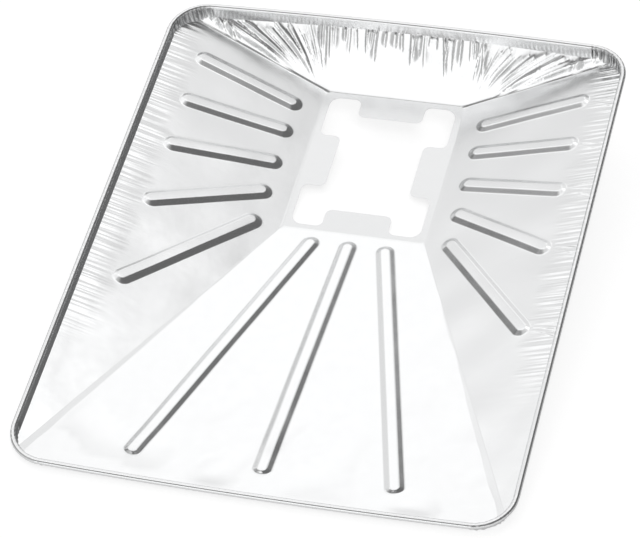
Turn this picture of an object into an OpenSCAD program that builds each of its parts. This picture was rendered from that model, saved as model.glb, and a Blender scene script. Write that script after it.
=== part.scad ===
// Foil drip pan with an outlet: one formed sheet of aluminium foil, in millimetres.
// The pan is drawn level first, with the underside of its floor at z = 0 and the middle
// of its rim over the origin. It is then tipped onto its front wall, which is how it lies.

/* [Pan] */
// Width over the rolled rim, left to right
pan_w = 380; // [300:1:480]
// Length over the rolled rim, front to back
pan_l = 475; // [380:1:580]
// Depth from the top of the rim to the underside of the floor
pan_h = 52.5; // [35:0.5:80]
// Corner radius at the outside of the rim
corner_r = 32; // [20:1:50]
// How far the front and back edges bow out at their middle
rim_bow = 2.5; // [0:0.5:3]
// Thickness of the foil
foil_t = 0.15; // [0.1:0.01:0.3]

/* [Rim] */
// Outside diameter of the rolled edge
bead_d = 4.6; // [3:0.1:6]
// Height of the steep lip, from the top of the rim to the walls
lip_h = 10; // [7:0.5:14]
// Turn of the rolled edge, in degrees
roll_turn = 300; // [200:10:320]
// Pleats in the rim at each corner
corner_pleats = 9; // [5:1:14]
// Depth of these pleats
pleat_d = 0.5; // [0.1:0.1:0.8]

/* [Floor] */
// Width of the flat floor
floor_w = 116; // [90:1:150]
// Length of the flat floor
floor_l = 147; // [110:1:190]
// From the back edge of the rim to the back edge of the floor
floor_back = 39; // [30:0.5:60]

/* [Outlet] */
// Strip of floor left around the outlet
outlet_strip = 5.5; // [4:0.5:10]
// Radius of the outlet's corners
outlet_r = 9; // [6:0.5:14]
// Width of each of the four tabs
tab_w = 54; // [40:1:60]
// How far each tab reaches in
tab_reach = 18; // [10:1:24]
// Radius of the tabs' corners and roots
tab_r = 5.5; // [3:0.5:8]

/* [Ribs] */
// Width of a raised rib at its foot
rib_w = 14.8; // [10:0.2:18]
// Width of a rib's flat top
rib_flat = 6.8; // [4:0.2:9]
// Height of a rib
rib_h = 2; // [1:0.1:3]
// From the floor's side edge to the middle of a side rib's round end
rib_floor_gap = 22.5; // [14:0.5:30]
// From the rim's side edge to the middle of a side rib's round end
rib_rim_gap = 33.8; // [26:0.2:44]
// From the floor's front edge to the middle of a front rib's round end
front_floor_gap = 15.2; // [10:0.2:24]
// From the rim's front edge to the middle of a front rib's round end
front_rim_gap = 36.8; // [26:0.1:50]
// Inner ends of the side ribs, as shares of the floor's length from its back edge
rib_in = [0.16, 0.364, 0.596, 0.813, 1.025];
// Outer ends of the side ribs, as shares of the pan's length from its back edge
rib_out = [0.101, 0.198, 0.298, 0.422, 0.589];
// Inner ends of the two outer front ribs, as a share of the floor's width
front_in = 0.262; // [0.2:0.002:0.3]
// Outer ends of the two outer front ribs, as a share of the pan's width
front_out = 0.257; // [0.2:0.001:0.32]

/* [Creases] */
// Upright gathers in the back wall
gathers = 17; // [8:1:24]
// Length of the back wall's middle that has them
gather_span = 170; // [120:5:220]
// Width of a gather at its middle
gather_w = 4; // [2:0.5:7]
// Height of a gather
gather_h = 1.1; // [0.4:0.1:2]
// Long folds in each end of the back wall
end_folds = 8; // [3:1:9]
// Small crimps along each side of the rim
side_crimps = 24; // [8:1:36]
// Length of a side crimp
crimp_l = 17; // [10:1:24]
// Height of a side crimp
crimp_h = 0.6; // [0.2:0.1:1]

/* [Parts to draw] */

/* [Hidden] */
$fn = 20;
foil_colour = [0.82, 0.83, 0.84];
bead_r = bead_d / 2;
bead_z = pan_h - bead_r;
foot_x = pan_w / 2 - bead_d;
end_y = pan_l / 2 - rim_bow;
foot_y = end_y - bead_d;
foot_z = pan_h - lip_h;
floor_y1 = pan_l / 2 - floor_back;
floor_y0 = floor_y1 - floor_l;
floor_y = (floor_y0 + floor_y1) / 2;
side_slope = atan2(foot_z, foot_x - floor_w / 2);
front_slope = atan2(foot_z, foot_y + floor_y0);
back_slope = atan2(foot_z, foot_y - floor_y1);
side_len = foot_z / sin(side_slope);
back_len = foot_z / sin(back_slope);
big = pan_l;
lap = 0.2;
roll_steps = 8;
bow_steps = 6;
dice = rands(0, 1, 200, 7);

// The path of the rolled edge's middle: [x, y, outward x, outward y, pleat], corner by corner.
// The half lengths are of the straight parts between the corners.
straight_x = pan_w / 2 - corner_r;
straight_y = end_y - corner_r;
path_r = corner_r - bead_r;
corner_steps = 2 * corner_pleats;

function quarter(k, sx, sy) = [
    for (j = [0 : corner_steps])
        let (a = 90 * k + 90 * j / corner_steps)
        [sx * straight_x + path_r * cos(a), sy * straight_y + path_r * sin(a), cos(a), sin(a), j % 2]
];

function bowed(s) = [
    for (j = [1 : bow_steps - 1])
        let (f = 1 - 2 * j / bow_steps)
        [s * f * straight_x, s * (straight_y + path_r + rim_bow * (1 - f * f)), 0, s, 0]
];

path = concat(quarter(0, 1, 1), bowed(1), quarter(1, -1, 1), quarter(2, -1, -1), bowed(-1),
    quarter(3, 1, -1));

function at(p, u, w) = [p[0] + u * p[2], p[1] + u * p[3], bead_z + w];

// The section of the rolled edge: a tip that sits inside the lip's foil, the outer face of
// the roll, then back along its inner face. A pleat draws the roll in.
function roll_r(p) = bead_r - pleat_d * p[4];
function rim_section(p) = let (r = roll_r(p)) concat(
    [at(p, foil_t / 2 - r, -2 * lap)],
    [for (j = [0 : roll_steps]) let (a = 180 - roll_turn * j / roll_steps) at(p, r * cos(a), r * sin(a))],
    [for (j = [roll_steps : -1 : 0]) let (a = 180 - roll_turn * j / roll_steps)
        at(p, (r - foil_t) * cos(a), (r - foil_t) * sin(a))]
);

// Joins rings of points, each with n points, into a closed loop of triangles.
function loop_faces(rings, n) = [
    for (i = [0 : rings - 1], j = [0 : n - 1], h = [0, 1])
        let (a = i * n + j, b = i * n + (j + 1) % n, c = ((i + 1) % rings) * n + (j + 1) % n,
            d = ((i + 1) % rings) * n + j)
        h == 0 ? [a, c, b] : [a, d, c]
];

module rim_band() {
    points = [for (p = path) each rim_section(p)];
    polyhedron(points, loop_faces(len(path), len(rim_section(path[0]))), convexity = 8);
}

// Everything inside the lip, whose own outline is grown by t.
module inside_lip(t) {
    translate([0, 0, -1])
        linear_extrude(bead_z - lap + 1 + (t > 0 ? 0 : 1))
        polygon([for (p = path) [p[0] + (t - roll_r(p)) * p[2], p[1] + (t - roll_r(p)) * p[3]]]);
}

// Each wall's own frame: x or y runs up the wall from the floor's edge, z stands off it.
module on_side(s) {
    mirror([s < 0 ? 1 : 0, 0, 0])
        translate([floor_w / 2, 0, 0])
        rotate([0, -side_slope, 0])
        children();
}

module on_back() {
    translate([0, floor_y1, 0])
        rotate([back_slope, 0, 0])
        children();
}

module on_front() {
    translate([0, floor_y0, 0])
        rotate([-front_slope, 0, 0])
        children();
}

// All the space above the walls and floor, lifted by s from their underside.
module above(s) {
    intersection() {
        translate([-big, -big, s])
            cube(2 * big);
        side_space(s, 1);
        side_space(s, -1);
        on_back()
            translate([-big, -big, s])
            cube(2 * big);
        on_front()
            translate([-big, -big, s])
            cube(2 * big);
    }
}

module side_space(s, side) {
    on_side(side)
        translate([-big, -big, s])
        cube(2 * big);
}

module slot(a, b, w) {
    hull() {
        translate(a)
            circle(d = w);
        translate(b)
            circle(d = w);
    }
}

module rib(a, b) {
    hull() {
        translate([0, 0, -1])
            linear_extrude(1)
            slot(a, b, rib_w);
        linear_extrude(rib_h)
            slot(a, b, rib_flat);
    }
}

module side_ribs() {
    x0 = rib_floor_gap / cos(side_slope);
    x1 = (pan_w / 2 - rib_rim_gap - floor_w / 2) / cos(side_slope);
    for (i = [0 : len(rib_in) - 1])
        rib([x0, floor_y1 - rib_in[i] * floor_l], [x1, pan_l / 2 - rib_out[i] * pan_l]);
}

module front_ribs() {
    y0 = -front_floor_gap / cos(front_slope);
    y1 = -(floor_y0 + pan_l / 2 - front_rim_gap) / cos(front_slope);
    for (i = [-1 : 1])
        rib([i * front_in * floor_w, y0], [i * front_out * pan_w, y1]);
}

// A crease is a long low ridge from a to b, highest at the share m of its length.
module crease(a, b, w, h, m = 0.5) {
    d = (b - a) / norm(b - a);
    q = [-d[1], d[0]] * w / 2;
    c = a + (b - a) * m;
    sink = -0.1;
    polyhedron([
        [a[0], a[1], sink],
        [c[0] + q[0], c[1] + q[1], sink],
        [b[0], b[1], sink],
        [c[0] - q[0], c[1] - q[1], sink],
        [c[0], c[1], h]
    ], [[0, 1, 4], [1, 2, 4], [2, 3, 4], [3, 0, 4], [0, 3, 2, 1]]);
}

module back_gathers() {
    top = back_len - 0.8;
    for (i = [0 : gathers - 1]) {
        x = gather_span / 2 * (2 * (i + 0.5 + 0.4 * (dice[i] - 0.5)) / gathers - 1);
        run = back_len * (0.38 + 0.3 * dice[i + 80]);
        x1 = x - (0.1 * x / gather_span + 0.08 * (dice[i + 40] - 0.5)) * run;
        k = 0.6 + 0.5 * dice[i + 120];
        crease([x, top], [x1, top - run], gather_w * k, gather_h * k, 0.3);
    }
}

module back_folds() {
    x0 = gather_span / 2;
    x1 = foot_x - corner_r * 0.7;
    c = [floor_w / 2, 0];
    for (s = [-1, 1])
        mirror([s < 0 ? 1 : 0, 0, 0])
            for (i = [0 : end_folds - 1]) {
                a = [x0 + (x1 - x0) * (i + 0.5) / end_folds, back_len - 0.8];
                b = c + (a - c) * (0.3 + 0.3 * dice[2 * i + s + 130]);
                crease(a, b, gather_w * 0.9, gather_h * (0.5 + 0.4 * dice[i + 20]), 0.35);
            }
}

module rim_crimps() {
    y1 = straight_y - 6;
    y0 = -pan_l * 0.22;
    for (i = [0 : side_crimps - 1]) {
        y = y0 + (y1 - y0) * (i + 0.4 * dice[i + 20]) / (side_crimps - 1);
        run = crimp_l * (0.7 + 0.6 * dice[i + 60]);
        skew = 5 * (dice[i + 100] - 0.5);
        crease([side_len - run, y + skew], [side_len - 0.6, y], 2.6, crimp_h, 0.7);
    }
}

// Ribs and creases, on the surface lifted by s.
module raised(s) {
    for (side = [-1, 1])
        on_side(side)
            translate([0, 0, s]) {
                side_ribs();
                rim_crimps();
            }
    on_front()
        translate([0, 0, s])
        front_ribs();
    on_back()
        translate([0, 0, s]) {
            back_gathers();
            back_folds();
        }
}

module outlet_outline() {
    w = floor_w / 2 - outlet_strip;
    l = floor_l / 2 - outlet_strip;
    offset(r = tab_r)
        offset(r = -2 * tab_r)
        offset(r = tab_r)
        difference() {
            offset(r = outlet_r)
                square([2 * (w - outlet_r), 2 * (l - outlet_r)], center = true);
            for (s = [-1, 1]) {
                translate([s * w, 0])
                    square([2 * tab_reach, tab_w], center = true);
                translate([0, s * l])
                    square([tab_w, 2 * tab_reach], center = true);
            }
        }
}

module level_pan() {
    difference() {
        intersection() {
            above(0);
            inside_lip(foil_t);
        }
        raised(0);
        intersection() {
            difference() {
                above(foil_t);
                raised(foil_t);
            }
            inside_lip(0);
        }
        translate([0, floor_y, -1])
            linear_extrude(foil_t + 2)
            outlet_outline();
    }
    rim_band();
}

// The foil is too light at its small floor to stand on it. It lies on its front wall.
module drip_pan() {
    color(foil_colour)
        translate([0, floor_y0 * cos(front_slope) + bead_z * sin(front_slope), 0])
        rotate([front_slope, 0, 0])
        translate([0, -floor_y0, 0])
        level_pan();
}

drip_pan();
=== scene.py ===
"""Looks for the foil drip pan: one thin, closed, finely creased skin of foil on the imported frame.

The pan is worked out level, in millimetres, as in its CAD source: x to the right, y to the back,
z up from the underside of the floor. It is then tipped onto its front wall and turned to metres.
"""

import math

import bpy
import numpy as np
from mathutils import Matrix, Vector
from mathutils.geometry import delaunay_2d_cdt

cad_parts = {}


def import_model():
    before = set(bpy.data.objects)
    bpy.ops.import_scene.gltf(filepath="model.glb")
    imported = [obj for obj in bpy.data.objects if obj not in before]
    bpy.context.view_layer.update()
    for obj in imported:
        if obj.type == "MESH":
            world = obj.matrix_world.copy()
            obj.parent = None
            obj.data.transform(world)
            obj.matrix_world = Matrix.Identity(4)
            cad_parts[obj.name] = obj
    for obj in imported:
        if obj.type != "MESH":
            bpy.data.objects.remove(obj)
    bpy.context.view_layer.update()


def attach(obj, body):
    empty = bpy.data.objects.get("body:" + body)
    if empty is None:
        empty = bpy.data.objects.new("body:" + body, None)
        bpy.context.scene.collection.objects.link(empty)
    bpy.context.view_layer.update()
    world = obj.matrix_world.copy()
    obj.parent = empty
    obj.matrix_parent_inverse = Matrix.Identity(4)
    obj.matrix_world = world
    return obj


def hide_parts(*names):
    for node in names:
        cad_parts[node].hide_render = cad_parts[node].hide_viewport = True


# Sizes, as in the CAD source.
PAN_W, PAN_L, PAN_H = 380.0, 475.0, 52.5
CORNER_R, RIM_BOW, FOIL_T = 32.0, 2.5, 0.15
BEAD_D, LIP_H, ROLL_TURN = 4.6, 10.0, 300.0
FLOOR_W, FLOOR_L, FLOOR_BACK = 116.0, 147.0, 39.0
OUTLET_STRIP, OUTLET_R, TAB_W, TAB_REACH, TAB_R = 5.5, 9.0, 54.0, 18.0, 5.5
RIB_W, RIB_FLAT, RIB_H = 14.8, 6.8, 2.0
RIB_FLOOR_GAP, RIB_RIM_GAP, FRONT_FLOOR_GAP, FRONT_RIM_GAP = 22.5, 33.8, 15.2, 36.8
RIB_IN = (0.16, 0.364, 0.596, 0.813, 1.025)
RIB_OUT = (0.101, 0.198, 0.298, 0.422, 0.589)
FRONT_IN, FRONT_OUT = 0.262, 0.257
RIB_CROWN, RIB_RUN = 0.13, (RIB_W - RIB_FLAT) / 2
# The slope at a front rib's outer end is short. A fillet is a share of its slope.
FRONT_END_RUN, FILLET = 1.7, 0.16
# Over 1, a narrow flat runs down each front hip.
HIP_FLAT = 1.015
# How far pleats push the lip's foot, its middle and the rolled edge in and out at the corners.
FOOT_PLEAT, LIP_PLEAT, ROLL_PLEAT = 0.85, 1.3, 0.22
# Depth of the back lip's crimps, and how far that lip leans outwards.
LIP_CRIMP, LIP_SLANT = 0.34, 1.6
# How widely the planes' folds are rounded: between walls, at the back wall and round the floor.
FOLD, BACK_FOLD, FLOOR_FOLD = 0.1, 1.8, 0.16
# A height well under the floor, and the rise over which one wall's steepness passes into the next.
FAR_BELOW, BLEND = -9.0, 0.6
# Height and width of the fine line round the floor, and how far from the rims the dents fade out.
FLOOR_LINE, FLOOR_LINE_W, RIM_FADE = 0.05, 0.6, 14

BEAD_R = BEAD_D / 2
BEAD_Z = PAN_H - BEAD_R
END_Y = PAN_L / 2 - RIM_BOW
FOOT_X, FOOT_Y, FOOT_Z = PAN_W / 2 - BEAD_D, END_Y - BEAD_D, PAN_H - LIP_H
FLOOR_Y1 = PAN_L / 2 - FLOOR_BACK
FLOOR_Y0 = FLOOR_Y1 - FLOOR_L
FLOOR_Y = (FLOOR_Y0 + FLOOR_Y1) / 2
SIDE_K = FOOT_Z / (FOOT_X - FLOOR_W / 2)
BACK_K = FOOT_Z / (FOOT_Y - FLOOR_Y1)
FRONT_K = FOOT_Z / (FOOT_Y + FLOOR_Y0)
BACK_RUN = FOOT_Y - FLOOR_Y1
CREASE_TOP = FOOT_Y + 0.9
LEAN = math.atan(FRONT_K)
STRAIGHT_X, STRAIGHT_Y = PAN_W / 2 - CORNER_R, END_Y - CORNER_R
PATH_R = CORNER_R - BEAD_R

# The photograph's camera, found from the pan's outline: the frame's width and the focal length in
# pixels, and its place and axes with the pan level.
FRAME_PX, FOCAL_PX = 640, 2783.87
CAMERA_PLACE = (503.62, -1277.29, 1662.43)
CAMERA_RIGHT = (0.962728, 0.247405, -0.109298)
CAMERA_UP = (-0.12455, 0.764224, 0.63281)
CAMERA_BACK = (0.240088, -0.595611, 0.766554)

rng = np.random.default_rng(11)


def tipped(p):
    """Level millimetres to the frame's metres: the pan lies on its front wall."""
    p = np.asarray(p, float)
    c, s = math.cos(LEAN), math.sin(LEAN)
    y = p[..., 1] * c - (p[..., 2] - BEAD_Z) * s
    z = (p[..., 1] - FLOOR_Y0) * s + p[..., 2] * c
    return np.stack([p[..., 0], y, z], -1) / 1000


def turned(v):
    """The same turn for a direction."""
    v = np.asarray(v, float)
    c, s = math.cos(LEAN), math.sin(LEAN)
    return np.stack([v[..., 0], v[..., 1] * c - v[..., 2] * s, v[..., 1] * s + v[..., 2] * c], -1)


def smax(a, b, k):
    """The larger of two heights, rounded where they differ by less than k."""
    return np.maximum(a, b) + np.maximum(k - np.abs(a - b), 0) ** 2 / (4 * k)


def step(t):
    """An eased step from 0 to 1."""
    t = np.clip(t, 0, 1)
    return t * t * (3 - 2 * t)


# the formed shape


def planes(x, y):
    """Heights of the side, back and front walls' planes over the floor's plane."""
    side = SIDE_K * (np.abs(x) - FLOOR_W / 2)
    back = BACK_K * (y - FLOOR_Y1)
    front = FRONT_K * (FLOOR_Y0 - y)
    return side, back, front


def walls(x, y):
    """The dish without its ribs: planes that meet in narrow folds."""
    side, back, front = planes(x, y)
    flat = 0.5 * (side + front) * HIP_FLAT
    low = smax(smax(side, front, FOLD), np.where(flat > 0, flat, FAR_BELOW), FOLD)
    return smax(smax(low, back, BACK_FOLD), 0.0, FLOOR_FOLD)


def steep(x, y):
    """How much taller than it is thick a layer on this wall is, seen from above."""
    side, back, front = planes(x, y)
    over = step((side - np.maximum(front, 0)) / BLEND + 0.5) * (math.hypot(1, SIDE_K) - 1)
    over += step((front - np.maximum(side, 0)) / BLEND + 0.5) * (math.hypot(1, FRONT_K) - 1)
    behind = step((back - np.maximum(np.maximum(side, front), 0)) / BLEND + 0.5)
    return 1 + over + (math.hypot(1, BACK_K) - 1 - over) * behind


def rib_list():
    """Each rib: the middles of its inner and outer end, and how far its slope runs at the outer end."""
    ribs = []
    for a, b in zip(RIB_IN, RIB_OUT):
        inner = (FLOOR_W / 2 + RIB_FLOOR_GAP, FLOOR_Y1 - a * FLOOR_L)
        outer = (PAN_W / 2 - RIB_RIM_GAP, PAN_L / 2 - b * PAN_L)
        for s in (-1, 1):
            ribs.append(((s * inner[0], inner[1]), (s * outer[0], outer[1]), RIB_RUN))
    for s in (-1, 0, 1):
        inner = (s * FRONT_IN * FLOOR_W, FLOOR_Y0 - FRONT_FLOOR_GAP)
        outer = (s * FRONT_OUT * PAN_W, -PAN_L / 2 + FRONT_RIM_GAP)
        ribs.append((inner, outer, FRONT_END_RUN))
    return ribs


RIBS = rib_list()


def along(x, y, a, b):
    """Distance from the segment a to b, and the share of the way along it."""
    dx, dy = b[0] - a[0], b[1] - a[1]
    t = np.clip(((x - a[0]) * dx + (y - a[1]) * dy) / (dx * dx + dy * dy), 0, 1)
    return np.hypot(x - a[0] - t * dx, y - a[1] - t * dy), t


def rib_axes(rib):
    """A rib's start, direction, cross direction and the length to the middle of its outer round."""
    a, b, run = rib
    a, b = np.array(a), np.array(b)
    length = np.linalg.norm(b - a)
    d = (b - a) / length
    return a, d, np.array([-d[1], d[0]]), length + RIB_RUN - run


def rib_profile(d, run):
    """Height over the wall at the distance d from a rib's middle. Its straight slope has small fillets."""
    t = 1 - (d - RIB_FLAT / 2) / run
    f = FILLET
    up = np.where(t > f, t, np.where(t > -f, (t + f) ** 2 / (4 * f), 0.0))
    up = np.where(up < 1 - f, up, np.where(t < 1 + f, 1 - (1 + f - t) ** 2 / (4 * f), 1.0))
    return RIB_H * up + RIB_CROWN * np.maximum(1 - (d / RIB_FLAT) ** 2, 0)


def rib_height(x, y, rib):
    """Height of one rib over its wall. On the front wall its outer end is steeper."""
    a, d, q, end = rib_axes(rib)
    l = (x - a[0]) * d[0] + (y - a[1]) * d[1]
    across = (x - a[0]) * q[0] + (y - a[1]) * q[1]
    past = np.where(l > end, l - end, np.minimum(l, 0))
    dist = np.hypot(across, past)
    turn = np.where(l > end, (past / np.maximum(dist, 1e-6)) ** 2, 0)
    return rib_profile(dist, RIB_RUN + (rib[2] - RIB_RUN) * turn)


def pleat_shape(s, w):
    """A crease's cross-section: a ridge with a steep slope on one side and a long one on the other."""
    q = np.where(s > 0, s / (0.62 * w), s / (1.75 * w)) ** 2
    return np.exp(-q)


def side_of_chance():
    """Which side of a crease is steep."""
    return 1 if rng.random() < 0.5 else -1


def centre_creases():
    """Upright creases in the middle of the back wall, from the rim part of the way down."""
    out = []
    x, last = -70.0, 68.0
    while x < last:
        x += 3.6 + 5.6 * rng.random() ** 1.4
        depth = 0.22 + 0.5 * rng.random() ** 1.2
        lean, bow = 9 * (rng.random() - 0.5), 4 * (rng.random() - 0.5)
        v = np.linspace(0, depth, 6)
        line = np.stack([x + lean * v + bow * v * (depth - v) * 4, CREASE_TOP - v * BACK_RUN], -1)
        width, height = 1.1 + 0.8 * rng.random(), 0.4 + 0.7 * rng.random()
        out.append((line, width, height, side_of_chance()))
    return out


def fan_creases():
    """Long bowed creases at both ends of the back wall, gathered towards the floor's back corners."""
    out = []
    nearest, farthest = 66.0, 166.0
    for s in (-1, 1):
        x = nearest
        while x < farthest:
            x += 2.8 + 4.2 * rng.random()
            g = (x - nearest) / (farthest - nearest)
            foot = FLOOR_W / 2 + 1 + 17 * g + 4 * rng.random()
            first = 0.02 + 0.16 * rng.random()
            v = np.linspace(first, 0.6 + 0.36 * rng.random(), 10)
            line = np.stack([s * (foot + (x - foot) * (1 - v) ** 1.3), CREASE_TOP - v * BACK_RUN], -1)
            width, height = 0.85 + 0.5 * rng.random(), 0.22 + 0.36 * rng.random()
            out.append((line, width, height, side_of_chance()))
    return out


def corner_creases():
    """Crumples on the back wall beside the hips, where the corners were drawn in."""
    out = []
    for s in (-1, 1):
        for _ in range(9):
            g = 0.3 * rng.random() ** 1.2
            cx = FOOT_X - 9 - (FOOT_X - FLOOR_W / 2) * g - 4 * rng.random()
            cy = FOOT_Y - 1.0 - BACK_RUN * g + (1 - g) * 1.5
            t = math.radians(190 + 50 * rng.random())
            half = 3 + 4 * rng.random()
            w = np.linspace(-half, half, 4)
            line = np.stack([s * (cx + w * math.cos(t)), cy + w * math.sin(t)], -1)
            width, height = 1.0 + 0.7 * rng.random(), 0.2 + 0.3 * rng.random()
            out.append((line, width, height, side_of_chance()))
    return out


def side_creases():
    """A few longer creases from the right ribs' ends to the rim. The crimps beside them are a bump."""
    out = []
    for b in RIB_OUT:
        y = PAN_L / 2 - b * PAN_L
        for j in range(3):
            u = np.linspace(0.4, 21 + 4 * rng.random(), 8)
            to = y + 3.0 - 3.2 * j
            line = np.stack([FOOT_X - u, to + (1.5 - 4.4 * j) * (1 - u / 24) ** 2], -1)
            out.append((line, 1.0, 0.14 + 0.14 * rng.random(), 1))
    return out


# Each crease has a line, a width, a height and the hand of its steep side.
CREASES = centre_creases() + fan_creases() + corner_creases() + side_creases()


def crease_relief(x, y):
    """Height that all the creases add over the wall."""
    h = np.zeros_like(x)
    for line, w, top, hand in CREASES:
        lo, hi = line.min(0) - 4 * w, line.max(0) + 4 * w
        near = np.flatnonzero((x > lo[0]) & (x < hi[0]) & (y > lo[1]) & (y < hi[1]))
        if len(near) == 0:
            continue
        px, py = x[near], y[near]
        best = np.full(len(near), np.inf)
        share, side = np.zeros(len(near)), np.ones(len(near))
        for i in range(len(line) - 1):
            a, b = line[i], line[i + 1]
            d, t = along(px, py, a, b)
            turn = np.sign((b[0] - a[0]) * (py - a[1]) - (b[1] - a[1]) * (px - a[0]))
            share = np.where(d < best, (i + t) / (len(line) - 1), share)
            side = np.where(d < best, turn, side)
            best = np.minimum(best, d)
        # a crease dies out over its second half, and is a little lower at its start
        live = step((1 - share) / 0.5) * (0.6 + 0.4 * step(share / 0.15))
        h[near] += top * live * pleat_shape(hand * side * best, w)
    return h


def dent_waves(count=14):
    """Directions, lengths, starts and heights of the waves that make up the dents."""
    out = []
    for _ in range(count):
        direction, length = 2 * math.pi * rng.random(), 38 + 80 * rng.random()
        out.append((direction, length, 6.3 * rng.random(), 0.04 + 0.05 * rng.random()))
    return out


DENTS = dent_waves()


def dents(x, y):
    """The soft unevenness of a large sheet of foil."""
    h = np.zeros_like(x)
    for a, length, start, top in DENTS:
        way = (x * math.cos(a) + y * math.sin(a)) / length
        h += top * np.sin(2 * math.pi * way + start + 0.6 * np.sin(y / 61 + start))
    return h


def floor_fold(x, y):
    """The fine raised line round the edge of the floor."""
    past_x, past_y = np.abs(x) - FLOOR_W / 2, np.abs(y - FLOOR_Y) - FLOOR_L / 2
    out = np.hypot(np.maximum(past_x, 0), np.maximum(past_y, 0))
    deep = np.minimum(-past_x, -past_y)
    return FLOOR_LINE * np.exp(-((out + np.maximum(deep, 0)) / FLOOR_LINE_W) ** 2)


def top_z(x, y):
    """Height of the upper face."""
    h = np.zeros_like(x)
    for rib in RIBS:
        near = along(x, y, rib[0], rib[1])[0] < RIB_W
        h[near] = np.maximum(h[near], rib_height(x[near], y[near], rib))
    off_rim = step((FOOT_X - np.abs(x)) / RIM_FADE) * step((FOOT_Y - np.abs(y)) / RIM_FADE)
    base = walls(x, y)
    side, _, front = planes(x, y)
    # dents are deepest near the front rim, and die out towards every rim and the floor
    depth = (0.6 + 1.9 * step((-110 - y) / 70) * step((front - side) / 5)) * off_rim * step(base / 9)
    # the front wall only dents upwards, since the pan lies on it
    base = smax(base + dents(x, y) * depth, front, 0.06)
    return FOIL_T * steep(x, y) + base + (h + crease_relief(x, y) + floor_fold(x, y)) * steep(x, y)


def top_normal(x, y, e=0.2):
    """Normals of the upper face, from its heights at the distance e on four sides."""
    zx = (top_z(x + e, y) - top_z(x - e, y)) / (2 * e)
    zy = (top_z(x, y + e) - top_z(x, y - e)) / (2 * e)
    n = np.stack([-zx, -zy, np.ones_like(zx)], -1)
    return n / np.linalg.norm(n, axis=-1, keepdims=True)


# outlines


# Columns of the stations round the rim: place, outward direction, pleat, crimp and painted shade in the
# fold.
AT_X, AT_Y, OUT_X, OUT_Y, PLEAT, CRIMP, FOLD_SHADE = range(7)
# A corner has this many pleats. At its stations, each pleat has this section and this much painted shade.
PLEATS = 12
PLEAT_SECTION = (0.0, 0.15, 0.6, 1.0, 0.8, 0.3)
PLEAT_SHADE = (1.0, 0.5, 0.1, 0.0, 0.2, 0.8)
# Pleats are deeper at the back corners than at the front ones, and their folds take darker painted shade.
BACK_DEEP, FRONT_DEEP, BACK_SHADE, FRONT_SHADE = 1.5, 1.15, 0.9, 0.4
# The back lip's crimps: how many, and their section. The front rim has plain stations, this many.
CRIMPS, CRIMP_SECTION, FRONT_PLAIN = 92, (0.0, 0.7, 1.0, 0.7), 50
# The side rims' stations are closer behind this y. These are their numbers before and behind it.
CLOSER_Y, SIDE_FRONT, SIDE_BACK = -105.0, 18, 70


def corner_path(k, sx, sy):
    """Stations round the corner k, with pleats of uneven depth and width. The back ones are deeper."""
    per_pleat = len(PLEAT_SECTION)
    n = per_pleat * PLEATS
    deep = (0.1 + 0.9 * rng.random(PLEATS + 1)) * (BACK_DEEP if sy > 0 else FRONT_DEEP)
    width = 0.5 + rng.random(PLEATS)
    ends = np.concatenate([[0], np.cumsum(width)]) / width.sum()
    out = []
    for j in range(n + 1):
        share = np.interp(j / per_pleat, np.arange(PLEATS + 1), ends)
        a = math.radians(90 * (k + share))
        depth = deep[j // per_pleat]
        # painted shade: how much a fold's colour is darkened to stand in for the dark it mirrors
        painted_shade = PLEAT_SHADE[j % per_pleat] * (BACK_SHADE * depth if sy > 0 else FRONT_SHADE)
        ox, oy = math.cos(a), math.sin(a)
        x, y = sx * STRAIGHT_X + PATH_R * ox, sy * STRAIGHT_Y + PATH_R * oy
        out.append((x, y, ox, oy, PLEAT_SECTION[j % per_pleat] * depth, 0.0, painted_shade))
    return out


def end_path(s):
    """Stations along the back (s is 1) or the front rim, which bow outwards. The back lip is crimped."""
    each = len(CRIMP_SECTION)
    n = CRIMPS * each if s > 0 else FRONT_PLAIN
    depth = 0.3 + 0.7 * rng.random(n // each + 1)
    out = []
    for j in range(1, n):
        f = 1 - 2 * j / n
        crimp = CRIMP_SECTION[j % each] * depth[j // each] * LIP_CRIMP if s > 0 else 0.0
        y = s * (STRAIGHT_Y + PATH_R + RIM_BOW * (1 - f * f))
        out.append((s * f * STRAIGHT_X, y, 0.0, float(s), 0.0, crimp, 0.0))
    return out


def side_path(s):
    """Stations along the left (s is -1) or the right rim, fewer towards the front."""
    sparse = np.linspace(-STRAIGHT_Y, CLOSER_Y, SIDE_FRONT, endpoint=False)
    dense = np.linspace(CLOSER_Y, STRAIGHT_Y, SIDE_BACK)
    ys = np.concatenate([sparse, dense])[1:-1]
    if s < 0:
        ys = ys[::-1]
    return [(s * (STRAIGHT_X + PATH_R), y, float(s), 0.0, 0.0, 0.0, 0.0) for y in ys]


def rim_path():
    """Stations anticlockwise round the rolled edge's middle, from the right rim's back end."""
    st = corner_path(0, 1, 1) + end_path(1)
    st += corner_path(1, -1, 1) + side_path(-1)
    st += corner_path(2, -1, -1) + end_path(-1)
    st += corner_path(3, 1, -1) + side_path(1)
    return np.array(st)


def foot_offset(st):
    """How far the lip's foot lies inside the rolled edge's middle. The back lip leans outwards."""
    return BEAD_R - FOOT_PLEAT * st[:, PLEAT] + LIP_SLANT * np.maximum(st[:, OUT_Y], 0) ** 2


def moved_out(st, u):
    """x and y of the stations, moved outwards by u."""
    return st[:, AT_X] + u * st[:, OUT_X], st[:, AT_Y] + u * st[:, OUT_Y]


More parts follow.
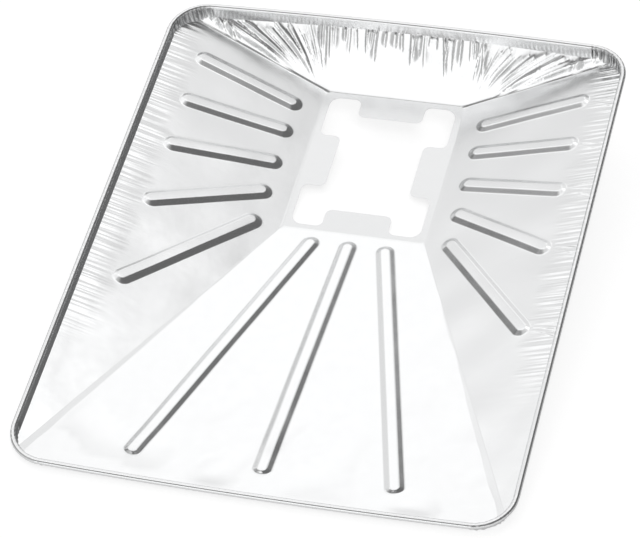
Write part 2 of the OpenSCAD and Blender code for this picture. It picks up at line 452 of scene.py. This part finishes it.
def outlet_turns():
    """The outlet's corners and their radii, anticlockwise: a rectangle with four tabs reaching in."""
    w, l, t = FLOOR_W / 2 - OUTLET_STRIP, FLOOR_L / 2 - OUTLET_STRIP, TAB_W / 2
    # one quarter, from the right tab's tip to the back tab's tip
    quarter = [(w - TAB_REACH, t, TAB_R), (w, t, TAB_R), (w, l, OUTLET_R)]
    quarter += [(t, l, TAB_R), (t, l - TAB_REACH, TAB_R)]
    turns = []
    for sx, sy in ((1, 1), (-1, 1), (-1, -1), (1, -1)):
        for x, y, r in quarter if sx * sy > 0 else quarter[::-1]:
            turns.append((np.array([sx * x, sy * y + FLOOR_Y]), r))
    return turns


def outlet_loop(n_arc=7, spacing=5):
    """Points along the outlet's edge, with n_arc steps round each corner."""
    turns = outlet_turns()
    n = len(turns)
    pts = []
    for i in range(n):
        (p0, _), (p1, r), (p2, next_r) = turns[i - 1], turns[i], turns[(i + 1) % n]
        a, b = (p0 - p1) / np.linalg.norm(p0 - p1), (p2 - p1) / np.linalg.norm(p2 - p1)
        end, centre = p1 + b * r, p1 + (a + b) * r
        for j in range(n_arc + 1):
            f = math.pi / 2 * j / n_arc
            pts.append(centre - b * r * math.cos(f) - a * r * math.sin(f))
        gap = np.linalg.norm(p2 - p1) - r - next_r
        m = int(gap // spacing)
        for j in range(1, m):
            pts.append(end + b * gap * j / m)
    return np.array(pts)


def inside(poly, x, y):
    """True where a point lies inside the outline."""
    hit = np.zeros(len(x), bool)
    a, b = poly, np.roll(poly, -1, axis=0)
    for (x0, y0), (x1, y1) in zip(a, b):
        if y0 == y1:
            continue
        cross = ((y0 > y) != (y1 > y)) & (x < (x1 - x0) * (y - y0) / (y1 - y0) + x0)
        hit ^= cross
    return hit


# the mesh


# Places of the mesh's rows beside ribs, in shares of their slope, beside folds, in millimetres, and
# beside creases, in widths. Then the steps along these rows.
RIB_ROWS = (-0.85, -0.42, -FILLET, 0, FILLET, 0.32, 0.5, 0.68, 1 - FILLET, 1, 1 + FILLET, 1.55)
FOLD_ROWS = (-2.0, -1.15, -0.8, -0.4, 0.0, 0.4, 0.8, 1.15, 2.0)
CREASE_ROWS = (-3.2, -2.0, -1.0, 0, 0.33, 0.66, 1.1, 1.8)
RIB_STEP, FOLD_STEP, CREASE_STEP = 5, 2.6, 1.6
# Steps across and along of the even rows, on the back wall and elsewhere.
BACK_STEP, WIDE_STEP = (2.8, 2.3), (6.0, 5.2)
# Gaps that even rows and crease rows keep from a rib's middle and from folds, and all from outlines.
RIB_GAP, EVEN_GAP, CREASE_GAP, OUTLET_GAP, RIM_GAP = 10.5, 2.7, 2.3, 1.0, 0.5
# Two points closer than about this become one: among folds and ribs, and among all.
FIRM_THIN, THIN = 0.2, 0.42


def grid(x0, x1, y0, y1, dx, dy):
    """Rows of points, every second row shifted by half a step."""
    xs, ys = np.arange(x0, x1 + dx / 2, dx), np.arange(y0, y1 + dy / 2, dy)
    gx, gy = np.meshgrid(xs, ys)
    gx[1::2] += dx / 2
    return np.stack([gx.ravel(), gy.ravel()], -1)


def rib_points():
    """Points along each rib's fillets and slopes, and round its ends."""
    pts = []
    for rib in RIBS:
        a, d, q, end = rib_axes(rib)
        n = int(end / RIB_STEP)
        for f in RIB_ROWS:
            side = RIB_FLAT / 2 + f * RIB_RUN
            if side < 0:
                continue
            for j in range(n + 1):
                for s in (-1, 1):
                    pts.append(a + d * end * j / n + s * q * side)
            for t in np.linspace(0, math.pi, 19)[1:-1]:
                run = RIB_RUN + (rib[2] - RIB_RUN) * math.sin(t) ** 2
                out = RIB_FLAT / 2 + f * run
                pts.append(a + d * end + out * (math.cos(t) * q + math.sin(t) * d))
                pts.append(a - side * (math.cos(t) * q + math.sin(t) * d))
        for j in range(n + 1):
            pts.append(a + d * end * j / n)
    return np.array(pts)


def fold_lines():
    """The floor's edges and the hips, where the walls meet."""
    fx, share = FLOOR_W / 2, (1 - HIP_FLAT / 2) / (HIP_FLAT / 2)
    over, ahead = FOOT_X - fx, FOOT_Y + FLOOR_Y0
    lines = [((-fx, FLOOR_Y0), (fx, FLOOR_Y0)), ((-fx, FLOOR_Y1), (fx, FLOOR_Y1))]
    for s in (-1, 1):
        lines.append(((s * fx, FLOOR_Y0), (s * fx, FLOOR_Y1)))
        lines.append(((s * fx, FLOOR_Y1), (s * FOOT_X, FOOT_Y)))
        lines.append(((s * fx, FLOOR_Y0), (s * FOOT_X, FLOOR_Y0 - ahead * share)))
        lines.append(((s * fx, FLOOR_Y0), (s * (fx + over * share), -FOOT_Y)))
    return np.array(lines)


def fold_points():
    """Rows of points along every fold."""
    pts = []
    for a, b in fold_lines():
        length = np.linalg.norm(b - a)
        q = np.array([a[1] - b[1], b[0] - a[0]]) / length
        n = int(length / FOLD_STEP)
        for o in FOLD_ROWS:
            for j in range(1, n):
                pts.append(a + (b - a) * j / n + q * o)
    return np.array(pts)


def crease_points():
    """Rows of points along every crease, so that the mesh follows its slopes."""
    pts = []
    for line, w, _, hand in CREASES:
        leg = np.linalg.norm(np.diff(line, axis=0), axis=1)
        way = np.concatenate([[0], np.cumsum(leg)])
        for l in np.arange(0.4, way[-1], CREASE_STEP):
            i = min(np.searchsorted(way, l) - 1, len(leg) - 1)
            d = (line[i + 1] - line[i]) / leg[i]
            p = line[i] + d * (l - way[i])
            for o in CREASE_ROWS:
                pts.append(p + o * hand * w * np.array([-d[1], d[0]]))
    return np.array(pts)


def back_edge(y):
    """Half the back wall's width at y."""
    return FLOOR_W / 2 + (FOOT_X - FLOOR_W / 2) * np.clip(y - FLOOR_Y1, 0, BACK_RUN) / BACK_RUN


def skin_points(outer, outlet):
    """Every inner point of the skin's plan: folds and ribs first, then creases, then even rows."""
    back = grid(-FOOT_X + 1, FOOT_X - 1, FLOOR_Y1 + 2, FOOT_Y - 0.8, *BACK_STEP)
    back = back[np.abs(back[:, 0]) < back_edge(back[:, 1]) + 3]
    rest = grid(-FOOT_X + 2, FOOT_X - 2, -FOOT_Y + 2, FOOT_Y - 2, *WIDE_STEP)
    rest = rest[(rest[:, 1] < FLOOR_Y1) | (np.abs(rest[:, 0]) > back_edge(rest[:, 1]) + 3)]
    creases = crease_points()
    spread = np.concatenate([back, rest])
    for a, b, _ in RIBS:
        spread = spread[along(spread[:, 0], spread[:, 1], a, b)[0] > RIB_GAP]
        creases = creases[along(creases[:, 0], creases[:, 1], a, b)[0] > RIB_GAP]
    for a, b in fold_lines():
        spread = spread[along(spread[:, 0], spread[:, 1], a, b)[0] > EVEN_GAP]
        creases = creases[along(creases[:, 0], creases[:, 1], a, b)[0] > CREASE_GAP]
    firm = thinned(np.concatenate([fold_points(), rib_points()]), 0, FIRM_THIN)
    pts = thinned(np.concatenate([firm, creases, spread]), len(firm), THIN)
    keep = clear_of(pts, outlet, OUTLET_GAP) & clear_of(pts, outer, RIM_GAP)
    return pts[keep & inside(outer, pts[:, 0], pts[:, 1]) & ~inside(outlet, pts[:, 0], pts[:, 1])]


def thinned(pts, kept, size):
    """The points without those that share a small cell with an earlier one. The first ones all stay."""
    for shift in (0.0, 0.5):
        cell = np.floor(pts / size + shift).astype(int)
        _, first = np.unique(cell, axis=0, return_index=True)
        pts = pts[np.union1d(first, np.arange(kept))]
    return pts


def clear_of(pts, loop, gap):
    """True where a point keeps the gap from every edge of the loop."""
    ok = np.ones(len(pts), bool)
    for (x0, y0), (x1, y1) in zip(loop, np.roll(loop, -1, axis=0)):
        low, high = (min(x0, x1) - gap, min(y0, y1) - gap), (max(x0, x1) + gap, max(y0, y1) + gap)
        near = ((pts > low) & (pts < high)).all(axis=1) & ok
        if near.any():
            d, _ = along(pts[near, 0], pts[near, 1], (x0, y0), (x1, y1))
            ok[np.flatnonzero(near)[d < gap]] = False
    return ok


def loop_edges(first, count):
    """Pairs of neighbours round a closed loop of points."""
    return [(first + i, first + (i + 1) % count) for i in range(count)]


def triangles(outer, outlet, pts):
    """The skin's plan: all its points, and anticlockwise triangles between the two outlines."""
    plan = np.concatenate([outer, outlet, pts])
    edges = loop_edges(0, len(outer)) + loop_edges(len(outer), len(outlet))
    vs, _, fs, _, _, _ = delaunay_2d_cdt([Vector(p) for p in plan], edges, [], 0, 1e-6, False)
    if len(vs) != len(plan):
        raise RuntimeError("the triangulation moved points")
    f = np.array([tuple(t) for t in fs])
    c = plan[f].mean(1)
    f = f[inside(outer, c[:, 0], c[:, 1]) & ~inside(outlet, c[:, 0], c[:, 1])]
    p = plan[f]
    area = np.cross(p[:, 1] - p[:, 0], p[:, 2] - p[:, 0])
    f[area < 0] = f[area < 0][:, ::-1]
    return plan, f


# Rows of the band: shares of the lip's height, steps of the rolled edge, and how much of a fold's
# painted shade shows on each of the first rows.
LIP_ROWS, ROLL_STEPS = (0.3, 0.62, 0.85), 10
ROW_SHADE = (0.0, 0.6, 1.0, 1.0, 0.8, 0.5, 0.25)


def band(st, z_foot):
    """Rows up the lip and round the rolled edge, then back along the foil's other side."""
    r = BEAD_R - ROLL_PLEAT * st[:, PLEAT]
    slant = foot_offset(st) - r

    def at(u, z):
        return np.stack([*moved_out(st, u), z], -1)

    def height(t):
        return z_foot + (BEAD_Z - z_foot) * t

    def lip(t):
        """How far out the lip is at the share t of its height. Crimps leave its foot alone."""
        out = -r - slant * (1 - t) - st[:, CRIMP] * (1 - t) * (t > 0)
        return out + LIP_PLEAT * st[:, PLEAT] * t * (1 - t) * 4

    rows = [at(lip(t), height(t)) for t in (0.0, *LIP_ROWS)]
    angles = [math.radians(180 - ROLL_TURN * j / ROLL_STEPS) for j in range(ROLL_STEPS + 1)]
    rows += [at(r * math.cos(a), BEAD_Z + r * math.sin(a)) for a in angles]
    inner = r - FOIL_T
    rows += [at(inner * math.cos(a), BEAD_Z + inner * math.sin(a)) for a in angles[::-2]]
    rows += [at(lip(t) + FOIL_T, height(t)) for t in LIP_ROWS[::-1]]
    return rows


def band_normals(rows):
    """Normals of the band at every point of its rows."""
    n = np.cross(np.roll(rows, -1, axis=1) - np.roll(rows, 1, axis=1), np.gradient(rows, axis=0))
    return n / np.maximum(np.linalg.norm(n, axis=-1, keepdims=True), 1e-9)


def band_index(count, around, rows):
    """The band's vertices, row by row. Its first and last row are the two faces' outer edges."""
    index = 2 * count + np.arange(-around, (rows - 1) * around).reshape(rows, around)
    index[0] = np.arange(around)
    index[-1] = count + np.arange(around)
    return index


def band_faces(index, normals):
    """Triangles between the band's rows, and the normals of their corners."""
    a, b = index[:-1], index[1:]
    a2, b2 = np.roll(a, -1, axis=1), np.roll(b, -1, axis=1)
    na, nb = normals[:-1], normals[1:]
    na2, nb2 = np.roll(na, -1, axis=1), np.roll(nb, -1, axis=1)
    faces = [np.stack(f, -1).reshape(-1, 3) for f in ((a, a2, b2), (a, b2, b))]
    return faces, [np.stack(q, -2).reshape(-1, 3, 3) for q in ((na, na2, nb2), (na, nb2, nb))]


def cut_faces(verts, upper, lower):
    """Triangles of the outlet's cut edge, and the flat normals of their corners."""
    upper2, lower2 = np.roll(upper, -1), np.roll(lower, -1)
    faces, normals = [], []
    for f in ((upper, lower, lower2), (upper, lower2, upper2)):
        f = np.stack(f, -1)
        p = verts[f]
        n = np.cross(p[:, 1] - p[:, 0], p[:, 2] - p[:, 0])
        n /= np.linalg.norm(n, axis=-1, keepdims=True)
        faces.append(f)
        normals.append(np.repeat(n[:, None], 3, axis=1))
    return faces, normals


def build_foil():
    """The closed skin: vertices, triangles, their corners' normals, sharp loops and the painted shade of
    the folds.
    """
    st = rim_path()
    outer, outlet = np.stack(moved_out(st, -foot_offset(st)), -1), outlet_loop()
    plan, tri = triangles(outer, outlet, skin_points(outer, outlet))
    x, y = plan[:, 0], plan[:, 1]
    n = top_normal(x, y)
    top = np.stack([x, y, top_z(x, y)], -1)
    bottom = top - n * FOIL_T
    count, around, hole = len(plan), len(outer), len(outlet)
    rows = band(st, top[:around, 2])
    rows = np.array([top[:around], *rows[1:], bottom[:around]])
    verts = np.concatenate([top, bottom, rows[1:-1].reshape(-1, 3)])
    index = band_index(count, around, len(rows))
    band_tri, band_n = band_faces(index, band_normals(rows))
    edge = around + np.arange(hole)
    cut_tri, cut_n = cut_faces(verts, edge, count + edge)
    faces = np.concatenate([tri, tri[:, ::-1] + count, *band_tri, *cut_tri])
    normals = np.concatenate([n[tri], -n[tri[:, ::-1]], *band_n, *cut_n])
    ring = np.full(len(verts), -1)
    for k, loop in enumerate((index[0], edge, index[-1], count + edge)):
        ring[loop] = k
    # painted shade: the lip's first rows at the tight corner folds are marked for darkening
    painted_shade = np.zeros(len(verts))
    for row, share in enumerate(ROW_SHADE):
        painted_shade[index[row]] = share * np.minimum(st[:, FOLD_SHADE], 1)
    return verts, faces, normals, ring, painted_shade


def mesh_object(name, verts, faces, normals, ring, painted_shade):
    """A shaded mesh. ring numbers the vertices of each loop whose edges are sharp, and is -1 elsewhere."""
    me = bpy.data.meshes.new(name)
    me.from_pydata(tipped(verts).tolist(), [], faces.tolist())
    me.polygons.foreach_set("use_smooth", np.ones(len(faces), bool))
    ends = np.zeros(2 * len(me.edges), np.int32)
    me.edges.foreach_get("vertices", ends)
    pair = ring[ends.reshape(-1, 2)]
    sharp = me.attributes.new("sharp_edge", "BOOLEAN", "EDGE")
    sharp.data.foreach_set("value", (pair[:, 0] >= 0) & (pair[:, 0] == pair[:, 1]))
    # painted shade of the tight corner folds, which darkens the foil's colour there
    shade_attr = me.attributes.new("painted_fold_shade", "FLOAT", "POINT")
    shade_attr.data.foreach_set("value", painted_shade)
    me.normals_split_custom_set(turned(normals).reshape(-1, 3).tolist())
    me.update()
    ob = bpy.data.objects.new(name, me)
    bpy.context.scene.collection.objects.link(ob)
    return ob


# materials, floor, light and camera


# The foil's colour, the painted shade of its tight folds, and how rough it is from its smoothest to its
# dullest.
FOIL_TONE, FOLD_SHADE_TONE = (0.93, 0.935, 0.94, 1), (0.1, 0.1, 0.1, 1)
SMOOTH, MIDDLING, DULL = 0.19, 0.2, 0.26
# The ground's half width and depth under the pan, and its grey.
GROUND_HALF, GROUND_DEEP, GROUND_GREY = 12.0, 0.0003, (0.4, 0.4, 0.4, 1)
# The ground's own light: where it is seen, and mirrored in the foil beside and in front of the pan.
SEEN_GLOW, BESIDE_GLOW, FRONT_GLOW = 0.74, 0.2, 0.5
# In metres, y where the ground begins to be in front of the pan and where it wholly is.
FRONT_FROM, FRONT_TO = -0.2, -0.26


def new_material(name):
    """A material with no nodes yet, and its node tree."""
    mat = bpy.data.materials.new(name)
    mat.use_nodes = True
    nt = mat.node_tree
    nt.nodes.clear()
    return mat, nt


def fill(nt, socket, value):
    """Links another socket to this one, or sets its value."""
    if isinstance(value, bpy.types.NodeSocket):
        nt.links.new(value, socket)
    else:
        socket.default_value = value


def new_node(nt, kind, inputs):
    """A node whose inputs, by name or number, hold values or are linked to other sockets."""
    node = nt.nodes.new(kind)
    for name, value in inputs.items():
        fill(nt, node.inputs[name], value)
    return node


def math_node(nt, operation, a, b):
    """A math node on two values or sockets. Returns its output."""
    node = nt.nodes.new("ShaderNodeMath")
    node.operation = operation
    fill(nt, node.inputs[0], a)
    fill(nt, node.inputs[1], b)
    return node.outputs[0]


def range_node(nt, value, low, high):
    """The value's share of the way from low to high, eased at both ends."""
    node = new_node(nt, "ShaderNodeMapRange", {"From Min": low, "From Max": high, "Value": value})
    node.interpolation_type = "SMOOTHSTEP"
    return node.outputs[0]


def noise_node(nt, coord, scale, turn=0.0, detail=0.0):
    """Noise with its own scale along each axis, turned about the vertical. Returns its output."""
    place = {"Rotation": (0, 0, turn), "Scale": scale, "Vector": coord.outputs["Object"]}
    lay = new_node(nt, "ShaderNodeMapping", place)
    look = {"Scale": 1.0, "Detail": detail, "Vector": lay.outputs[0]}
    return new_node(nt, "ShaderNodeTexNoise", look).outputs[0]


def bump_node(nt, height, strength, distance):
    """A bump of at most this many metres. Its Normal input is still free."""
    return new_node(nt, "ShaderNodeBump", {"Height": height, "Strength": strength, "Distance": distance})


def crimp_height(nt, coord):
    """Soft crimps along the side rims: fine across, long towards the middle, of uneven reach."""
    axes = new_node(nt, "ShaderNodeSeparateXYZ", {0: coord.outputs["Object"]})
    out = math_node(nt, "ABSOLUTE", axes.outputs["X"], 0.0)
    uneven = math_node(nt, "MULTIPLY", noise_node(nt, coord, (4, 70, 4)), 0.02)
    near_rim = range_node(nt, math_node(nt, "ADD", out, uneven), 0.168, 0.19)
    not_front = range_node(nt, axes.outputs["Y"], -0.12, -0.04)
    wave = noise_node(nt, coord, (14, 390, 14), 0.06, 0.5)
    return math_node(nt, "MULTIPLY", wave, math_node(nt, "MULTIPLY", near_rim, not_front))


def foil_normal(nt, coord, soft):
    """The foil's bumps, one over the other: soft unevenness, crimps and the rolling mill's lines."""
    # the mill's fine lines run along the pan
    mill = noise_node(nt, coord, (2600, 60, 60), detail=3.0)
    layers = [bump_node(nt, soft, 0.12, 0.0004)]
    layers.append(bump_node(nt, crimp_height(nt, coord), 1.0, 0.0008))
    layers.append(bump_node(nt, mill, 0.05, 0.0001))
    for under, over in zip(layers, layers[1:]):
        nt.links.new(under.outputs[0], over.inputs["Normal"])
    return layers[-1].outputs[0]


def foil_colour_with_shade(nt):
    """The foil's colour. The tight folds of the drawn-in corners are darkened with painted shade."""
    shade_attr = nt.nodes.new("ShaderNodeAttribute")
    shade_attr.attribute_name = "painted_fold_shade"
    shade_mix = nt.nodes.new("ShaderNodeMix")
    shade_mix.data_type = "RGBA"
    shade_mix.inputs["A"].default_value = FOIL_TONE
    shade_mix.inputs["B"].default_value = FOLD_SHADE_TONE
    nt.links.new(shade_attr.outputs["Fac"], shade_mix.inputs["Factor"])
    return shade_mix.outputs["Result"]


def foil_material():
    """Bright rolled foil. Its noises are in metres."""
    mat, nt = new_material("foil_bright")
    coord = nt.nodes.new("ShaderNodeTexCoord")
    few_mm = {"Scale": 120.0, "Detail": 2.0, "Vector": coord.outputs["Object"]}
    soft = new_node(nt, "ShaderNodeTexNoise", few_mm).outputs[0]
    rough = new_node(nt, "ShaderNodeMapRange", {"To Min": SMOOTH, "To Max": DULL, "Value": soft})
    # the plain colour and roughness are for a viewer that doesn't follow nodes
    bsdf = new_node(nt, "ShaderNodeBsdfPrincipled", {"Base Color": FOIL_TONE, "Roughness": MIDDLING})
    fill(nt, bsdf.inputs["Metallic"], 1.0)
    # the base colour carries painted shade in the tight corner folds
    fill(nt, bsdf.inputs["Base Color"], foil_colour_with_shade(nt))
    fill(nt, bsdf.inputs["Roughness"], rough.outputs[0])
    fill(nt, bsdf.inputs["Normal"], foil_normal(nt, coord, soft))
    new_node(nt, "ShaderNodeOutputMaterial", {"Surface": bsdf.outputs[0]})
    return mat


def ground_glow(nt):
    """How strongly the ground glows: evenly where it is seen, less where the foil mirrors it."""
    path = nt.nodes.new("ShaderNodeLightPath")
    seen = math_node(nt, "MAXIMUM", path.outputs["Is Camera Ray"], path.outputs["Is Transmission Ray"])
    coord = nt.nodes.new("ShaderNodeTexCoord")
    axes = new_node(nt, "ShaderNodeSeparateXYZ", {0: coord.outputs["Object"]})
    way = {"From Min": FRONT_FROM, "From Max": FRONT_TO, "To Min": BESIDE_GLOW, "To Max": FRONT_GLOW}
    front = new_node(nt, "ShaderNodeMapRange", {**way, "Value": axes.outputs["Y"]})
    mirrored = math_node(nt, "MULTIPLY", path.outputs["Is Glossy Ray"], front.outputs[0])
    return math_node(nt, "ADD", math_node(nt, "MULTIPLY", seen, SEEN_GLOW), mirrored)


def ground_material():
    """White where it is seen, with a grey that takes the pan's shadow."""
    mat, nt = new_material("floor_white")
    diffuse = new_node(nt, "ShaderNodeBsdfDiffuse", {"Color": GROUND_GREY})
    glow = new_node(nt, "ShaderNodeEmission", {"Color": (1, 1, 1, 1), "Strength": ground_glow(nt)})
    both = new_node(nt, "ShaderNodeAddShader", {0: diffuse.outputs[0], 1: glow.outputs[0]})
    new_node(nt, "ShaderNodeOutputMaterial", {"Surface": both.outputs[0]})
    return mat


def ground():
    """The white floor that the pan lies on."""
    h = GROUND_HALF
    me = bpy.data.meshes.new("floor")
    me.from_pydata([(-h, -h, 0), (h, -h, 0), (h, h, 0), (-h, h, 0)], [], [(0, 1, 2, 3)])
    me.materials.append(ground_material())
    ob = bpy.data.objects.new("floor", me)
    bpy.context.scene.collection.objects.link(ob)
    ob.location.z = -GROUND_DEEP


# The studio round the pan, as the foil mirrors it, with the pan level: an even light, the least
# that is left of it, and soft patches. Each patch has an azimuth from the back towards the right, an
# elevation, an inner and an outer half angle, all in degrees, and what it adds to the even light.
EVEN_LIGHT, DARKEST = 0.6, 0.165
PATCHES = [
    (-25, 35, 48, 60, 0.38),
    (-17, 34, 3, 18, 0.44),
    (-40, 76, 14, 24, 0.25),
    (26, 63, 6, 15, 0.74),
    (-52, 37, 4, 9, 0.36),
    (-64, 47, 7, 15, 0.35),
    (85, 20, 51, 55, -0.85),
    (35, 12, 14, 20, -0.85),
    (134, 67, 6, 14, -0.38),
    (-80, 19, 8, 16, -0.75),
    (-102, 48, 14, 24, -0.28),
    (-167, 24, 13, 19, 1.05),
    (-168, 46, 14, 24, -0.42),
    (150, 42, 12, 24, -0.42),
    (-137, 34, 5, 14, 0.25),
    (-147, 52, 8, 15, -0.35),
    (-98, 68, 9, 15, 0.42),
    (105, 2, 16, 30, 0.7),
    (135, 20, 13, 24, 0.6),
]


# The sun's strength, its width in degrees and where it stands.
SUN, SUN_WIDTH, SUN_FROM = 0.9, 32, (0.35, -0.45, 0.82)


def patch_light(nt, coord, patch):
    """What one soft patch adds in each direction."""
    azimuth, elevation, inner, outer = (math.radians(v) for v in patch[:4])
    level = math.cos(elevation)
    middle = turned((math.sin(azimuth) * level, math.cos(azimuth) * level, math.sin(elevation)))
    dot = nt.nodes.new("ShaderNodeVectorMath")
    dot.operation = "DOT_PRODUCT"
    dot.inputs[1].default_value = tuple(middle)
    nt.links.new(coord.outputs["Generated"], dot.inputs[0])
    way = {"From Min": math.cos(outer), "From Max": math.cos(inner), "To Min": 0.0, "To Max": patch[4]}
    return new_node(nt, "ShaderNodeMapRange", {**way, "Value": dot.outputs["Value"]}).outputs[0]


def studio():
    """The world's light. Behind the pan it is seen as white."""
    world = bpy.data.worlds.new("studio")
    bpy.context.scene.world = world
    world.use_nodes = True
    nt = world.node_tree
    nt.nodes.clear()
    coord = nt.nodes.new("ShaderNodeTexCoord")
    light = EVEN_LIGHT
    for patch in PATCHES:
        light = math_node(nt, "ADD", light, patch_light(nt, coord, patch))
    path = nt.nodes.new("ShaderNodeLightPath")
    least = math_node(nt, "MAXIMUM", light, DARKEST)
    white = math_node(nt, "MAXIMUM", least, path.outputs["Is Camera Ray"])
    back = new_node(nt, "ShaderNodeBackground", {"Strength": white})
    new_node(nt, "ShaderNodeOutputWorld", {"Surface": back.outputs[0]})


def sun():
    """One wide, soft light, which the foil doesn't mirror."""
    data = bpy.data.lights.new("key", "SUN")
    data.energy = SUN
    data.angle = math.radians(SUN_WIDTH)
    ob = bpy.data.objects.new("key", data)
    ob.visible_glossy = False
    ob.rotation_euler = Vector(SUN_FROM).to_track_quat("Z", "Y").to_euler()
    bpy.context.scene.collection.objects.link(ob)


def camera():
    """The photograph's camera, tipped as the pan is."""
    data = bpy.data.cameras.new("camera")
    data.sensor_width = 36.0
    data.lens = data.sensor_width * FOCAL_PX / FRAME_PX
    data.clip_end = 100
    ob = bpy.data.objects.new("camera", data)
    axes = turned([CAMERA_RIGHT, CAMERA_UP, CAMERA_BACK])
    m = Matrix(axes.T.tolist()).to_4x4()
    m.translation = Vector(tipped(CAMERA_PLACE))
    ob.matrix_world = m
    bpy.context.scene.collection.objects.link(ob)
    bpy.context.scene.camera = ob


def main():
    """The foil skin in place of the CAD node, and its surroundings."""
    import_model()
    verts, faces, normals, ring, painted_shade = build_foil()
    print("foil triangles", len(faces))
    foil = mesh_object("foil_skin", verts, faces, normals, ring, painted_shade)
    foil.data.materials.append(foil_material())
    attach(foil, "root")
    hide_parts("drip_pan")
    ground()
    studio()
    sun()
    camera()
    bpy.context.scene.view_settings.view_transform = "Standard"


main()
